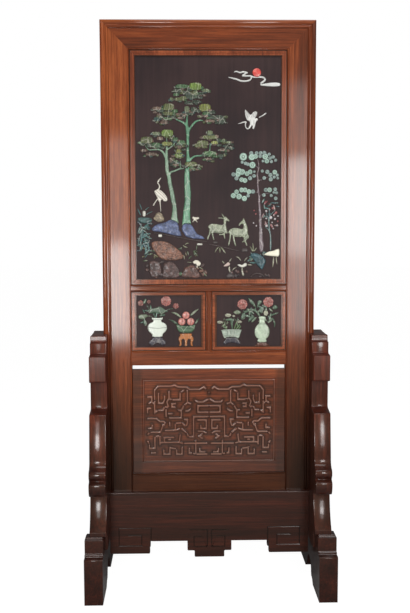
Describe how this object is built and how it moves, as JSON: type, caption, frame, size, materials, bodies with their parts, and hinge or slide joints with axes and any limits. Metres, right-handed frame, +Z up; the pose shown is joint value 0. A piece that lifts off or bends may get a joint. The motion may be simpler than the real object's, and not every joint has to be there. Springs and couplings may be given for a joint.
{
  "type": "floor screen",
  "caption": "Free-standing floor screen: tall moulded wooden frame with inlaid picture panels above a carved panel, held in a slotted stand with stepped brackets and block feet.",
  "frame": {"origin": "on the floor under the middle of the screen, half way between the two feet and in the frame's mid-plane", "axes": "+X to the right as seen from the front, -Y towards the viewer in front of the picture side, +Z up"},
  "size_m": [0.868, 0.508, 2],
  "materials": {
    "frame_wood": "polished reddish hardwood, satin sheen",
    "bead_wood": "polished reddish hardwood beading",
    "panel_lacquer": "dark lacquered board",
    "back_wood": "plain oiled hardwood",
    "carved_wood": "dark polished carved hardwood",
    "stand_wood": "dark reddish polished hardwood",
    "inlay_red": "polished red stone",
    "inlay_blue": "polished blue and teal stone",
    "inlay_white": "polished bone and shell",
    "inlay_pink": "polished pink soapstone",
    "inlay_feather": "engraved bone",
    "inlay_green": "polished green soapstone",
    "inlay_bark": "carved green and grey-mauve stone",
    "inlay_stone": "mottled grey and brown stone",
    "inlay_amber": "polished amber-brown stone",
    "inlay_dark": "polished dark stone"
  },
  "bodies": {
    "stand": {"apron_front": "stand_wood", "apron_rear": "stand_wood", "base_rail": "stand_wood", "foot_left": "stand_wood", "foot_right": "stand_wood", "post_left": "stand_wood", "post_right": "stand_wood", "rail_pins": "stand_wood", "spandrel_front_left": "stand_wood", "spandrel_front_right": "stand_wood", "spandrel_rear_left": "stand_wood", "spandrel_rear_right": "stand_wood"},
    "screen": {"bottom_rail": "frame_wood", "carved_panel": "carved_wood", "frame_pins": "frame_wood", "inlay_bottle_vase": "inlay_green", "inlay_cloud": "inlay_white", "inlay_crane_flying": "inlay_feather", "inlay_crane_standing": "inlay_feather", "inlay_doe": "inlay_amber", "inlay_flowers_cream": "inlay_white", "inlay_foliage": "inlay_green", "inlay_fruit_bowl": "inlay_green", "inlay_fungi": "inlay_amber", "inlay_ground": "inlay_stone", "inlay_leaves": "inlay_green", "inlay_peaches": "inlay_pink", "inlay_peonies": "inlay_pink", "inlay_pine_needles": "inlay_green", "inlay_pine_trunk": "inlay_bark", "inlay_planter": "inlay_green", "inlay_plants": "inlay_green", "inlay_rock_teal": "inlay_blue", "inlay_rocks_blue": "inlay_blue", "inlay_rocks_brown": "inlay_stone", "inlay_rocks_grey": "inlay_stone", "inlay_small_tree": "inlay_bark", "inlay_stag": "inlay_amber", "inlay_stands_brown": "inlay_amber", "inlay_stands_dark": "inlay_dark", "inlay_sun": "inlay_red", "inlay_trunk_centre": "inlay_bark", "inlay_trunk_left": "inlay_bark", "inlay_vase_white": "inlay_white", "inlay_white_pieces": "inlay_white", "main_bead_frame": "bead_wood", "main_panel": "panel_lacquer", "mid_rail_lower": "frame_wood", "mid_rail_upper": "frame_wood", "muntin": "frame_wood", "panel_battens": "back_wood", "small_bead_frame_left": "bead_wood", "small_bead_frame_right": "bead_wood", "small_panel_left": "panel_lacquer", "small_panel_right": "panel_lacquer", "stile_left": "frame_wood", "stile_right": "frame_wood", "top_rail": "frame_wood"}
  },
  "joints": [
    {"name": "screen_lift", "type": "slide", "parent": "stand", "child": "screen", "axis": [0, 0, 1], "range_m": [0, 0.6]}
  ]
}
